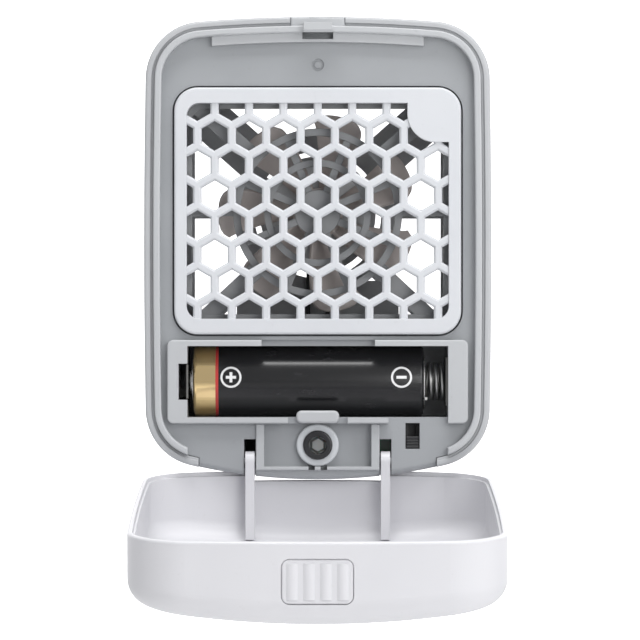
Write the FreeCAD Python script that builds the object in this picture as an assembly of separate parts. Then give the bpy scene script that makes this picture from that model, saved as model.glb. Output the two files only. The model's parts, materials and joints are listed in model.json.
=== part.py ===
"""Wall-hung fan air freshener with its front cover hinged open. Millimetres, +Z up, the front faces -Y.

The origin is the centre of the case's flat back. The cover is drawn closed and then
swung open on its hinge.
"""

import FreeCAD
import Part

import math
import os

V = FreeCAD.Vector

# Case outline: four shallow arcs joined by round corners. The lower end bulges more.
HALF_W = 35.6
TOP_H = 46.5
LOW_H = 48.4
CORNER_R = 11.8
TOP_ARC_R = 300.0
LOW_ARC_R = 115.0
SIDE_ARC_R = 1800.0

# Depths, counted from the back. The front is at negative Y.
CASE_D = 24.0
DECK_Y = -22.5
DECK_T = 1.8
WALL = 1.8
BACK_R = 4.0
LIP_IN = 1.9
RIM_STEP = 0.55
LIP_W = 1.4
LIP_Y = -25.0
LEDGE_W = 1.9
LEDGE_HALF = 21.7
HINGE_HALF = 24.4

# Cover
COVER_GAP = 0.2
COVER_D = 14.6
COVER_OUT = 0.35
COVER_TOP = TOP_H + COVER_OUT
COVER_WALL = 1.5
COVER_R = 5.0
CROWN = 1.5
CROWN_R = 210.0
RIM_R = 0.5
RABBET = 0.5
NOTCH_D = 2.0
OPEN_DEG = 95.95

# Hinge
HINGE_Y = -21.6
HINGE_Z = -44.5
ARM_X = 13.9
ARM_W = 1.9
ARM_R = 1.9
PIN_R = 0.75
PIN_RUN = 0.06
SLOT_W = 2.4
SLOT_TOP = -40.1
BEAM_BACK = -16.5
BULGE_BACK = -20.7
GROOVE_Z = -46.2
BELOW = -52.0

# Latch
PAD_W = 13.3
PAD_H = 8.4
PAD_DOWN = 3.2
PAD_GAP = 0.08
TONGUE_W = 5.8
TONGUE_LOW = 43.9
TONGUE_Y = -27.4
BARB_LOW = 43.1
BAR_HIGH = 43.55
KEEPER_W = 6.3
KEEPER_LOW = 41.9
KEEPER_HIGH = 43.3
KEEPER_FLOOR = 0.7
BLOCK_W = 11.2

# Refill and its well
REFILL_Z = 6.7
REFILL_W = 58.8
REFILL_H = 50.6
REFILL_R = 4.8
REFILL_FRONT = -24.0
REFILL_T = 4.4
WELL_GAP = 0.35
WINDOW_W = 53.7
WINDOW_H = 44.2
WINDOW_R = 2.6
WELL_FLOOR = -19.4
CELL_PITCH = 7.05
CELL_FLAT = 5.35
CELL_ROW_Z = 9.9
CELL_CHAMFER = 0.35
THUMB_X = 18.4
THUMB_Z = 20.8
THUMB_R = 5.7

# Fan and motor
FAN_Z = 6.4
GUARD_FRONT = -19.3
GUARD_T = 1.5
GUARD_HUB_R = 4.7
GUARD_RINGS = ((9.6, 11.0), (15.9, 17.4))
SPOKES = 8
SPOKE_W = 1.5
ROTOR_FRONT = -17.2
ROTOR_BACK = -11.8
ROTOR_HUB_R = 5.2
BLADE_TIP_R = 21.0
BLADES = 7
BLADE_T = 1.0
BLADE_SPAN = 29.0
MOTOR_R = 11.0
MOTOR_FRONT = -10.8
MOTOR_BACK = -2.0
SHAFT_R = 1.0
BUSH_RUN = 0.04
MOTOR_POCKET_Y = -1.0
SPIDER_R = 17.0
SLIT_IN = 12.1
SLIT_OUT = 13.3

# Intake opening in the back
INTAKE_HALF_W = 25.8
INTAKE_LOW = -15.4
INTAKE_HIGH = 28.9
BRACKET_RIM = 1.0

# Battery bay and AA cell
BAY_Z = -28.3
BAY_HALF_W = 26.7
BAY_H = 14.6
BAY_WALL = 1.25
BAY_END = 4.1
BAY_FRONT = -24.5
BAY_BACK = -7.2
BAY_FLOOR_T = 1.2
AA_R = 7.25
AA_Y = -15.2
AA_LEFT = -25.6
AA_RIGHT = 21.8
NUB_LEN = 1.0
NUB_R = 2.7

# Recess for the status lamp
PANEL_HALF = 11.0
PANEL_WALL = 1.7
PANEL_FLOOR = -21.0
PANEL_FRONT = -23.2
PANEL_LOW = -46.5
PANEL_SILL = 0.8
LAMP_Z = -41.3
LAMP_R = 1.8
HOLDER_R = 3.0
COLLAR_R = 4.35

# Slide switch
SWITCH_X = 19.45
SWITCH_LOW = -42.1
SWITCH_HIGH = -36.8
SWITCH_W = 2.9
KNOB_H = 2.4

# Wires
LEAD_R = 0.5
MOTOR_LEAD_R = 0.4

# Circuit board
BOARD_FRONT = -14.6
BOARD_T = 1.0

SCREWS = ((-27.2, 36.6), (27.2, 36.6), (-26.6, -37.4), (26.6, -37.4))
BOSS_R = 2.6
BOSS_END = -6.0
KEYHOLE_Z = 35.0


def box(x0, x1, y0, y1, z0, z1):
    return Part.makeBox(x1 - x0, y1 - y0, z1 - z0, V(x0, y0, z0))


def disc(x, z, r, y0, y1):
    """A cylinder along Y."""
    return Part.makeCylinder(r, y1 - y0, V(x, y0, z), V(0, 1, 0))


def ring(x, z, inner, outer, y0, y1):
    return disc(x, z, outer, y0, y1).cut(disc(x, z, inner, y0, y1))


def cross_rod(y, z, r, x0, x1):
    """A cylinder along X."""
    return Part.makeCylinder(r, x1 - x0, V(x0, y, z), V(1, 0, 0))


def round_edges(shape, radius, chosen):
    edges = [e for e in shape.Edges if chosen(e)]
    return shape.makeFillet(radius, edges) if edges else shape


def along_y(edge):
    box_of = edge.BoundBox
    return box_of.XLength < 1e-6 and box_of.ZLength < 1e-6 and box_of.YLength > 1e-3


def at_y(edge, y):
    return abs(edge.BoundBox.YMin - y) < 1e-4 and abs(edge.BoundBox.YMax - y) < 1e-4


def rounded(x, z, w, h, r, y0, y1):
    """A box with its four Y edges rounded."""
    solid = box(x - w / 2, x + w / 2, y0, y1, z - h / 2, z + h / 2)
    return round_edges(solid, r, along_y)


def fused(parts):
    whole = parts[0].multiFuse(parts[1:]) if len(parts) > 1 else parts[0]
    return whole.removeSplitter()


def cut_all(shape, tools):
    return shape.cut(Part.makeCompound(tools))


def outline(inset, y0, y1):
    """The case's outline, moved in by inset, from y0 to y1."""
    side_r = SIDE_ARC_R - inset
    side_x = HALF_W - SIDE_ARC_R
    corners = []
    for sign, height, arc_r in ((1, TOP_H, TOP_ARC_R), (-1, LOW_H, LOW_ARC_R)):
        x = HALF_W - inset
        for _ in range(8):
            z = sign * (height - arc_r + math.sqrt((arc_r - inset) ** 2 - x**2))
            x = side_x + math.sqrt(side_r**2 - z**2)
        corners.append((x, z, sign * (height - inset)))
    (x_top, z_top, high), (x_low, z_low, low) = corners
    side = side_x + side_r
    arcs = [((-x_top, z_top), (0, high), (x_top, z_top)), ((x_top, z_top), (side, 0), (x_low, z_low)),
            ((x_low, z_low), (0, low), (-x_low, z_low)), ((-x_low, z_low), (-side, 0), (-x_top, z_top))]
    face = Part.Face(Part.Wire([Part.Arc(*[V(x, y0, z) for x, z in arc]).toShape() for arc in arcs]))
    return round_edges(face.extrude(V(0, y1 - y0, 0)), CORNER_R - inset, along_y)


def band(inset, width, y0, y1):
    return outline(inset, y0, y1).cut(outline(inset + width, y0, y1))


def arc_slots(x, z, inner, outer, y0, y1, count, gap_deg, start_deg):
    """A ring broken into equal slots by gaps of gap_deg."""
    whole = ring(x, z, inner, outer, y0, y1)
    ribs = []
    for i in range(count):
        half = math.radians(gap_deg) * inner / 2
        rib = box(0, outer + 1, y0 - 1, y1 + 1, -half, half)
        rib.rotate(V(0, 0, 0), V(0, -1, 0), start_deg + 360.0 * i / count)
        rib.translate(V(x, 0, z))
        ribs.append(rib)
    return cut_all(whole, ribs)


def strut(length, width, y0, y1, angle, shift=0.0):
    """A bar from the fan's centre outward, at an angle in the XZ plane."""
    bar = box(0, length, y0, y1, shift - width / 2, shift + width / 2)
    bar.rotate(V(0, 0, 0), V(0, -1, 0), angle)
    bar.translate(V(0, 0, FAN_Z))
    return bar


def swung_open(shape):
    """Carries a piece drawn with the cover closed to where it is when the cover hangs open."""
    moved = shape.copy()
    moved.rotate(V(0, HINGE_Y, HINGE_Z), V(1, 0, 0), OPEN_DEG)
    return moved


# Case ------------------------------------------------------------------------------


def intake_plate(grow, y0, y1):
    """The rectangle of the intake, grown by grow on each side."""
    high, low = INTAKE_HIGH + grow, INTAKE_LOW - grow
    return rounded(0, (low + high) / 2, 2 * (INTAKE_HALF_W + grow), high - low, 2.0 + grow, y0, y1)


def intake_bars(y0, y1):
    bars = [disc(0, FAN_Z, SPIDER_R, y0, y1)]
    bars += [strut(30, 1.5, y0, y1, a) for a in (0, 180)]
    bars += [strut(40, 9.0, y0, y1, a, s) for a, s in ((41.5, 0.0), (138.5, 0.0))]
    bars += [strut(40, 3.7, y0, y1, a) for a in (-43.0, -137.0)]
    bars.append(box(-17, 17, y0, y1, INTAKE_LOW, INTAKE_LOW + 8))
    return fused(bars)


def keyhole():
    """A hanging keyhole: the screw's head enters the round end and the part drops onto the narrow end."""
    head = disc(0, KEYHOLE_Z, 3.2, -0.9, 0.1)
    neck = rounded(0, KEYHOLE_Z + 2.85, 3.4, 6.7, 1.65, -0.9, 0.1)
    pocket = rounded(0, KEYHOLE_Z + 1.5, 6.8, 9.8, 3.3, -1.9, -0.85)
    return head.fuse(neck).fuse(pocket)


def motor_bracket():
    """The spider in the intake: it carries the motor's cup on six arms inside a thin frame."""
    frame = intake_plate(BRACKET_RIM, -WALL, 0).cut(intake_plate(0, -WALL - 1, 1))
    arms = intake_bars(-WALL, 0).common(intake_plate(0.3, -WALL, 0))
    cup = ring(0, FAN_Z, MOTOR_R, SLIT_IN, -7.0, -WALL / 2)
    slits = arc_slots(0, FAN_Z, SLIT_IN, SLIT_OUT, -5, 1, 6, 14, 30)
    cuts = [slits, disc(0, FAN_Z, 3.0, -3, 1), disc(0, FAN_Z, MOTOR_R, -3, MOTOR_POCKET_Y)]
    cuts.append(box(-2.9, 2.9, -8, MOTOR_POCKET_Y, -20.0, -2.0))
    return cut_all(fused([frame, arms, cup]), cuts)


def rear_housing():
    shell = outline(0, -CASE_D, 0)
    shell = round_edges(shell, BACK_R, lambda e: at_y(e, 0.0))
    shell = round_edges(shell, 0.6, lambda e: at_y(e, -CASE_D))
    shell = shell.cut(outline(WALL, -CASE_D - 1, -WALL))
    shell = shell.cut(outline(WALL - RIM_STEP, -CASE_D - 1, -CASE_D + RIM_STEP))
    bosses = [ring(x, z, 1.6, 3.4, BOSS_END + 0.1, -WALL / 2) for x, z in SCREWS]
    shell = fused([shell] + bosses)
    cuts = [intake_plate(BRACKET_RIM + 0.05, -5, 1), box(-2.9, 2.9, -8, MOTOR_POCKET_Y, -20.0, -2.0)]
    cuts += [disc(x, z, 1.2, -7, 1) for x, z in SCREWS]
    cuts += [disc(x, z, 2.2, -1.4, 1) for x, z in SCREWS]
    cuts.append(box(-HINGE_HALF, HINGE_HALF, -CASE_D - 1, BEAM_BACK + 0.1, BELOW, -40))
    cuts.append(box(-BLOCK_W / 2 - 0.03, BLOCK_W / 2 + 0.03, -CASE_D - 1, DECK_Y + 0.6, 43.4, TOP_H + 1))
    cuts.append(keyhole())
    shell = cut_all(shell, cuts)
    return fused([shell, keyhole_cover()])


def keyhole_cover():
    """The raised pocket that closes the keyhole on the inside."""
    outer = rounded(0, KEYHOLE_Z + 1.5, 9.2, 11.6, 4.0, -3.0, -1.3)
    inner = rounded(0, KEYHOLE_Z + 1.5, 6.8, 9.8, 3.3, -2.2, -1.2)
    return outer.cut(inner)


def deck_plate():
    plate = outline(LIP_IN, DECK_Y, DECK_Y + DECK_T)
    lip = band(LIP_IN, LIP_W, LIP_Y, DECK_Y + DECK_T)
    lip = lip.cut(box(-26.6, 26.6, LIP_Y - 1, DECK_Y, BELOW, -38))
    lip = round_edges(lip, 0.35, lambda e: at_y(e, LIP_Y))
    ledge = band(LIP_IN + 0.5, LIP_W + LEDGE_W - 0.5, -24.0, DECK_Y + 0.5)
    ledge = ledge.common(box(-LEDGE_HALF, LEDGE_HALF, -30, 0, 30, 50))
    half = BLOCK_W / 2
    block = outline(0, -CASE_D, DECK_Y + 0.5).common(box(-half, half, -30, 0, KEEPER_HIGH, 50))
    block = round_edges(block, 0.5, lambda e: at_y(e, -CASE_D))
    tongue = box(-TONGUE_W / 2, TONGUE_W / 2, TONGUE_Y, DECK_Y, TONGUE_LOW, TONGUE_LOW + 1.2)
    barb = box(-TONGUE_W / 2, TONGUE_W / 2, TONGUE_Y, TONGUE_Y + 0.85, BARB_LOW, TONGUE_LOW + 0.1)
    nose = [e for e in barb.Edges if at_y(e, TONGUE_Y) and e.BoundBox.ZMax < BARB_LOW + 0.01]
    barb = barb.makeChamfer(0.5, nose)
    span = HINGE_HALF - 0.1
    beam = outline(0, DECK_Y, BEAM_BACK).common(box(-span, span, -30, 0, BELOW, -43.2))
    beam = round_edges(beam, 1.2, lambda e: at_y(e, DECK_Y) and e.BoundBox.ZMax < -45)
    beam = beam.cut(box(-HINGE_HALF, HINGE_HALF, BULGE_BACK, 0, BELOW, GROOVE_Z))
    return fused([plate, lip, ledge, block, tongue, barb, beam])


def well(wall_t):
    """The refill's well, with its floor around the window and the duct behind it."""
    w, h = REFILL_W + 2 * WELL_GAP, REFILL_H + 2 * WELL_GAP
    wide, tall = w + 2 * wall_t, h + 2 * wall_t
    outer = rounded(0, REFILL_Z, wide, tall, REFILL_R + 1.5, DECK_Y + 0.1, WELL_FLOOR + 1.3)
    duct = rounded(0, REFILL_Z, WINDOW_W + 3.4, WINDOW_H + 3.4, WINDOW_R + 1.2, WELL_FLOOR, -WALL - 0.1)
    return outer.fuse(duct)


def well_hollow():
    w, h = REFILL_W + 2 * WELL_GAP, REFILL_H + 2 * WELL_GAP
    pocket = rounded(0, REFILL_Z, w, h, REFILL_R + WELL_GAP, DECK_Y - 3, WELL_FLOOR)
    window = rounded(0, REFILL_Z, WINDOW_W + 0.6, WINDOW_H + 0.6, WINDOW_R, WELL_FLOOR - 1, 0)
    return pocket.fuse(window)


def bay_outer():
    x0, x1 = -BAY_HALF_W - BAY_END, BAY_HALF_W + BAY_END
    high = BAY_Z + BAY_H / 2 + BAY_WALL
    low = BAY_Z - BAY_H / 2 - BAY_WALL
    rim = box(x0, x1, BAY_FRONT, DECK_Y + 0.5, low, high)
    rim = round_edges(rim, 1.2, along_y)
    rim = round_edges(rim, 0.3, lambda e: at_y(e, BAY_FRONT))
    side = BAY_HALF_W + BAY_WALL
    tub = box(-side, side, DECK_Y, BAY_BACK + BAY_FLOOR_T, low, high)
    return rim, tub


def bay_hollow():
    high = BAY_Z + BAY_H / 2
    low = BAY_Z - BAY_H / 2
    hollow = box(-BAY_HALF_W, BAY_HALF_W, BAY_FRONT - 1, BAY_BACK, low, high)
    notch = box(-BAY_HALF_W - 1.8, -BAY_HALF_W, BAY_FRONT - 1, -8.2, BAY_Z - 3.7, BAY_Z + 3.7)
    finger = box(-11.5, 11.7, BAY_FRONT - 1, DECK_Y + 1.2, high - 0.5, high + BAY_WALL + 0.02)
    gap_mid = box(-6.1, 6.1, BAY_FRONT - 1, DECK_Y, low - BAY_WALL - 0.02, low + 0.1)
    gap_right = box(14.5, BAY_HALF_W, BAY_FRONT - 1, DECK_Y, low - BAY_WALL - 0.02, low + 0.1)
    tail_slot = box(BAY_HALF_W - 0.1, BAY_HALF_W + 2, -9.0, -8.2, BAY_Z - 4.4, BAY_Z - 2.0)
    return [hollow, notch, finger, gap_mid, gap_right, tail_slot]


def lamp_panel():
    """The sunk panel around the status lamp, with its walls raised above the deck."""
    outer = PANEL_HALF + PANEL_WALL
    block = box(-outer, outer, PANEL_FRONT, PANEL_FLOOR + 1.3, PANEL_LOW, -36.9)
    return round_edges(block, 0.3, lambda e: at_y(e, PANEL_FRONT))


def thumb_lip():
    """The springy lip that holds the cell's lower edge."""
    post = rounded(0, -35.5, 8.8, 2.6, 1.1, -24.4, DECK_Y + 0.5)
    post = round_edges(post, 0.5, lambda e: at_y(e, -24.4))
    return post.cut(box(-5, 5, DECK_Y - 0.9, DECK_Y + 1, BAY_Z - BAY_H / 2, -33))


def hinge_lugs():
    inner = PANEL_HALF + 0.3
    slot = SLOT_W / 2
    lugs = []
    for side in (-1, 1):
        near = sorted((side * inner, side * (ARM_X - slot)))
        far = sorted((side * (ARM_X + slot), side * (ARM_X + slot + 1.6)))
        lugs += [box(x0, x1, DECK_Y + 0.5, BEAM_BACK, -46.0, -41.0) for x0, x1 in (near, far)]
    return lugs


def hinge_slots():
    slots = []
    for side in (-1, 1):
        x0 = side * ARM_X - SLOT_W / 2
        slots.append(box(x0, x0 + SLOT_W, LIP_Y - 1, HINGE_Y + 3.2, BELOW, SLOT_TOP))
        slots.append(cross_rod(HINGE_Y, HINGE_Z, PIN_R, side * ARM_X - 2.5, side * ARM_X + 2.5))
    return slots


def front_deck():
    rim, tub = bay_outer()
    body = fused([deck_plate(), well(1.2), rim, tub, lamp_panel()] + hinge_lugs())
    bosses = [disc(x, z, BOSS_R, DECK_Y + 0.5, BOSS_END) for x, z in SCREWS]
    board_posts = [disc(x, -38.6, 1.5, DECK_Y + 1.0, BOARD_FRONT) for x in (-9.6, 15.6)]
    body = fused([body] + bosses + board_posts)
    cuts = [well_hollow()] + bay_hollow() + hinge_slots()
    cuts.append(box(-PANEL_HALF, PANEL_HALF, PANEL_FRONT - 1, PANEL_FLOOR, PANEL_LOW + PANEL_SILL, -36.9))
    half = KEEPER_W / 2
    cuts.append(box(-half, half, LIP_Y - 1, DECK_Y + KEEPER_FLOOR, KEEPER_LOW, KEEPER_HIGH))
    half = SWITCH_W / 2
    cuts.append(box(SWITCH_X - half, SWITCH_X + half, DECK_Y - 1, -20, SWITCH_LOW, SWITCH_HIGH))
    cuts += [disc(x, z, 0.85, -15.5, -6) for x, z in SCREWS]
    cuts += [disc(x, -38.6, 0.6, -19.5, -14) for x in (-9.6, 15.6)]
    cuts.append(disc(0, LAMP_Z, HOLDER_R, PANEL_FLOOR - 1, PANEL_FLOOR + 3))
    cuts.append(ring(0, 36.7, 0.7, 1.25, DECK_Y - 0.1, DECK_Y + 0.3))
    for x in (-1.25, 1.25):
        cuts.append(box(x - 0.65, x + 0.65, PANEL_FRONT - 1, PANEL_FLOOR + 0.6, PANEL_LOW + 0.1, -45.5))
    body = cut_all(body, cuts)
    return fused([body, thumb_lip()])


def fan_guard():
    y0, y1 = GUARD_FRONT, GUARD_FRONT + GUARD_T
    parts = [disc(0, FAN_Z, GUARD_HUB_R, y0, y1)]
    parts += [ring(0, FAN_Z, inner, outer, y0, y1) for inner, outer in GUARD_RINGS]
    outer = GUARD_RINGS[-1][1] - 0.5
    parts += [strut(outer, SPOKE_W, y0 + 0.2, y1, 360.0 * (i + 0.5) / SPOKES) for i in range(SPOKES)]
    frame_w, frame_h = WINDOW_W + 0.5, WINDOW_H + 0.5
    arms = [strut(45, 3.4, y0 + 0.3, y1, a) for a in (41.5, 138.5, -43.0, -137.0)]
    arms += [strut(45, 1.3, y0 + 0.3, y1, a) for a in (0, 180)]
    frame = rounded(0, REFILL_Z, frame_w, frame_h, WINDOW_R, y0, y1)
    hollow = rounded(0, REFILL_Z, frame_w - 2.4, frame_h - 2.4, WINDOW_R, y0 - 1, y1 + 1)
    keep = Part.makeCompound([a.cut(disc(0, FAN_Z, outer, y0 - 1, y1 + 1)).common(frame) for a in arms])
    return fused(parts + [frame.cut(hollow)] + keep.Solids)


# Cover -----------------------------------------------------------------------------


def cover_body(inset, extra, radius):
    """The cover's closed outer form, or its hollow where inset is the wall."""
    y0 = -CASE_D - COVER_GAP
    solid = outline(inset - COVER_OUT, y0 - COVER_D - CROWN - 1.0, y0)
    centre = V(0, y0 - COVER_D - CROWN + CROWN_R, -60)
    crown = Part.makeCylinder(CROWN_R - extra, 120, centre, V(0, 0, 1))
    crown.rotate(centre, V(0, 0, 1), 90)
    solid = solid.common(crown)
    return round_edges(solid, radius, lambda e: e.BoundBox.YMax < y0 - 5 and not along_y(e))


def hinge_arms():
    arms = []
    wall_in = COVER_WALL - COVER_OUT - LOW_H + ARM_X**2 / (2 * LOW_ARC_R)
    front = -CASE_D - COVER_GAP - COVER_D + 1.0
    for side in (-1, 1):
        x0 = side * ARM_X - ARM_W / 2
        eye = cross_rod(HINGE_Y, HINGE_Z, ARM_R, x0, x0 + ARM_W)
        bar = box(x0, x0 + ARM_W, front, HINGE_Y, wall_in - 0.7, HINGE_Z + ARM_R)
        bar = bar.cut(box(x0 - 1, x0 + ARM_W + 1, -CASE_D - COVER_GAP - 0.01, 0, BELOW, wall_in))
        arms.append(eye.fuse(bar))
    return arms


def outlet_slots():
    """Rows of slots in front of the fan, shorter towards the top and bottom of a circle."""
    slots = []
    rows = 4
    pitch = 4.6
    reach = 22.0
    for i in range(-rows, rows + 1):
        z = FAN_Z + i * pitch
        half = math.sqrt(reach**2 - (i * pitch) ** 2)
        slots.append(rounded(0, z, 2 * half, 2.2, 1.05, -45, -34))
    return slots


def front_cover():
    y0 = -CASE_D - COVER_GAP
    shell = cover_body(0, 0, COVER_R)
    shell = round_edges(shell, RIM_R, lambda e: at_y(e, y0))
    hollow = cover_body(COVER_WALL, COVER_WALL, COVER_R - 1.5)
    hollow = hollow.fuse(outline(COVER_WALL - COVER_OUT, y0 - 1, y0 + 1))
    hollow = hollow.fuse(outline(COVER_WALL - COVER_OUT - RABBET, y0 - 0.8, y0 + 1))
    notch_half = ARM_X - ARM_W / 2
    notch = box(-notch_half, notch_half, y0 - NOTCH_D, y0 + 1, BELOW, -44.0)
    shell = cut_all(shell, [hollow, notch])
    shell = fused([shell] + hinge_arms())
    pad_y = y0 - PAD_DOWN - PAD_H / 2
    half_w, half_h = PAD_W / 2 + PAD_GAP, PAD_H / 2 + PAD_GAP
    opening = box(-half_w, half_w, pad_y - half_h, pad_y + half_h, 40, 50)
    opening = round_edges(opening, 1.6, lambda e: e.BoundBox.ZLength > 5)
    cuts = outlet_slots() + [opening]
    cuts += [cross_rod(HINGE_Y, HINGE_Z, PIN_R + PIN_RUN, s * ARM_X - 2, s * ARM_X + 2) for s in (-1, 1)]
    shell = cut_all(shell, cuts)
    bridge_z = COVER_TOP - COVER_WALL - 3.4
    bridge = box(-8.4, 8.4, pad_y - 3.5, pad_y + 2.0, bridge_z - 1.2, bridge_z)
    y0, y1 = pad_y - 3.5, pad_y + 2.0
    legs = [box(x - 0.6, x + 0.6, y0, y1, bridge_z - 0.6, COVER_TOP - 1.0) for x in (-7.8, 7.8)]
    peg = Part.makeCylinder(0.8, 1.2, V(0, pad_y - 1.0, bridge_z - 0.2), V(0, 0, 1))
    return fused([shell, bridge, peg] + legs)


def latch_button():
    y0 = -CASE_D - COVER_GAP
    pad_y = y0 - PAD_DOWN - PAD_H / 2
    top = COVER_TOP - 0.1
    pad = box(-PAD_W / 2, PAD_W / 2, pad_y - PAD_H / 2, pad_y + PAD_H / 2, top - 1.6, top)
    pad = round_edges(pad, 1.4, lambda e: e.BoundBox.ZLength > 1.5)
    pad = round_edges(pad, 0.35, lambda e: e.BoundBox.ZLength < 1e-6 and abs(e.BoundBox.ZMax - top) < 1e-6)
    ribs = []
    for x in (-4.7, -1.55, 1.55, 4.7):
        rib = Part.makeCylinder(1.9, PAD_H - 1.6, V(x, pad_y - PAD_H / 2 + 0.8, top - 1.58), V(0, 1, 0))
        ribs.append(rib.common(box(-10, 10, -50, 0, top - 0.8, top + 1)))
    bar_y = TONGUE_Y + 1.0
    foot = COVER_TOP - COVER_WALL - 0.1
    flange = box(-PAD_W / 2, PAD_W / 2, pad_y - PAD_H / 2 + 1.0, bar_y + 1.0, foot - 1.0, foot)
    half = PAD_W / 2 - 0.5
    flange = flange.fuse(box(-half, half, pad_y - 3, pad_y + 3, foot - 0.1, top - 1.5))
    flange = flange.cut(box(-TONGUE_W / 2 - 0.3, TONGUE_W / 2 + 0.3, TONGUE_Y - 0.4, 0, 40, foot + 1))
    inner, outer = TONGUE_W / 2 + 1.4, TONGUE_W / 2 + 2.4
    y0, y1 = bar_y - 1.2, bar_y + 1.0
    sides = [box(min(s * inner, s * outer), max(s * inner, s * outer), y0, y1, BAR_HIGH - 0.8, foot)
             for s in (-1, 1)]
    bar = box(-outer, outer, bar_y, bar_y + 1.0, BAR_HIGH - 0.8, BAR_HIGH)
    return fused([pad, flange, bar] + sides + ribs)


def coil(radius, wire, pitch, turns, at, axis):
    helix = Part.makeHelix(pitch, pitch * turns, radius)
    start = V(radius, 0, 0)
    profile = Part.Wire(Part.makeCircle(wire, start, V(0, 1, 0)))
    body = Part.Wire(helix).makePipeShell([profile], True, True)
    body.Placement = FreeCAD.Placement(at, FreeCAD.Rotation(V(0, 0, 1), axis))
    return body


def latch_spring():
    """A small coil behind the pad, bent in short steps."""
    pad_y = -CASE_D - COVER_GAP - PAD_DOWN - PAD_H / 2
    low = COVER_TOP - COVER_WALL - 3.4 + 0.18
    high = COVER_TOP - COVER_WALL - 1.1 - 0.02
    wire = 0.17
    radius = 1.25
    turns = 2.5
    per_turn = 16
    count = int(turns * per_turn)
    rise = (high - low - 2 * wire) / count
    points = []
    for k in range(count + 1):
        a = 2 * math.pi * k / per_turn
        points.append((radius * math.cos(a), pad_y - 1.0 + radius * math.sin(a), low + wire + k * rise))
    return wire_run(points, wire)


def hinge_pins():
    half = SLOT_W / 2 + 1.3
    pins = [cross_rod(HINGE_Y, HINGE_Z, PIN_R, s * ARM_X - half, s * ARM_X + half) for s in (-1, 1)]
    return Part.makeCompound(pins)


# Refill ------------------------------------------------------------------------------


def hexagon(x, z, flat, y0, y1, flat_end=None):
    """A pointed-up six-sided prism along Y, or a tapered one where flat_end is given."""
    wires = []
    for y, f in ((y0, flat), (y1, flat_end or flat)):
        r = f / math.sqrt(3)
        turns = [math.radians(60 * k) for k in range(6)]
        pts = [V(x + r * math.sin(a), y, z + r * math.cos(a)) for a in turns]
        wires.append(Part.makePolygon(pts + pts[:1]))
    if flat_end is None:
        return Part.Face(wires[0]).extrude(V(0, y1 - y0, 0))
    return Part.makeLoft(wires, True, True)


def honeycomb_holes(y0, y1):
    holes = []
    row_step = CELL_PITCH * math.sqrt(3) / 2
    for row in range(-5, 5):
        z = CELL_ROW_Z + row * row_step
        shift = 0.5 * CELL_PITCH if row % 2 else 0.0
        for col in range(-5, 5):
            x = col * CELL_PITCH + shift
            if abs(x) < WINDOW_W / 2 + 2 and abs(z - REFILL_Z) < WINDOW_H / 2 + 2:
                holes.append(hexagon(x, z, CELL_FLAT, y0, y1))
                wide = CELL_FLAT + 2 * CELL_CHAMFER
                holes.append(hexagon(x, z, wide + 0.02, y0 - 0.01, y0 + CELL_CHAMFER, CELL_FLAT))
    return Part.makeCompound(holes)


def refill_honeycomb():
    y0, y1 = REFILL_FRONT, REFILL_FRONT + REFILL_T
    plate = rounded(0, REFILL_Z, REFILL_W, REFILL_H, REFILL_R, y0, y1)
    plate = round_edges(plate, 0.5, lambda e: at_y(e, y0))
    window = rounded(0, REFILL_Z, WINDOW_W, WINDOW_H, WINDOW_R, y0 - 1, y1 + 1)
    thumb = box(THUMB_X, 40, y0 - 2, y1 + 2, THUMB_Z, 40)
    thumb = round_edges(thumb, THUMB_R, along_y)
    frame = plate.cut(window)
    face_y = y0 + 0.35
    comb = window.cut(thumb).common(box(-40, 40, face_y, y1 - 0.8, -30, 40))
    comb = comb.cut(honeycomb_holes(face_y, y1 + 1))
    pad = thumb.common(window).common(box(-40, 40, y0, y0 + 1.8, -30, 40))
    return fused([frame, comb, pad])


# Fan and motor -----------------------------------------------------------------------


def blade(angle):
    """One blade: a flat slab pitched about its own radius, trimmed to the fan's depth and sweep."""
    depth = ROTOR_BACK - ROTOR_FRONT
    chord = 14.0
    slab = box(ROTOR_HUB_R - 1.0, BLADE_TIP_R + 2, -BLADE_T / 2, BLADE_T / 2, -chord / 2, chord / 2)
    slab.rotate(V(0, 0, 0), V(1, 0, 0), 30)
    slab.translate(V(0, (ROTOR_FRONT + ROTOR_BACK) / 2, 0))
    sweep = math.radians(BLADE_SPAN / 2)
    reach = BLADE_TIP_R + 3
    corner = V(reach * math.cos(sweep), 0, reach * math.sin(sweep))
    fan = Part.makePolygon([V(1, ROTOR_FRONT, -2.2), V(corner.x, ROTOR_FRONT, -corner.z),
                            V(corner.x, ROTOR_FRONT, corner.z), V(1, ROTOR_FRONT, 2.2),
                            V(1, ROTOR_FRONT, -2.2)])
    wedge = Part.Face(fan).extrude(V(0, depth, 0))
    slab = slab.common(wedge)
    slab.rotate(V(0, 0, 0), V(0, -1, 0), angle)
    slab.translate(V(0, 0, FAN_Z))
    return slab.common(disc(0, FAN_Z, BLADE_TIP_R, ROTOR_FRONT - 1, ROTOR_BACK + 1))


def fan_rotor():
    hub = disc(0, FAN_Z, ROTOR_HUB_R, ROTOR_FRONT, ROTOR_BACK)
    hub = round_edges(hub, 1.2, lambda e: at_y(e, ROTOR_FRONT))
    blades = [blade(17 + 360.0 * i / BLADES) for i in range(BLADES)]
    return fused([hub] + blades).cut(disc(0, FAN_Z, SHAFT_R, ROTOR_FRONT + 1.2, 0))


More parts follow.
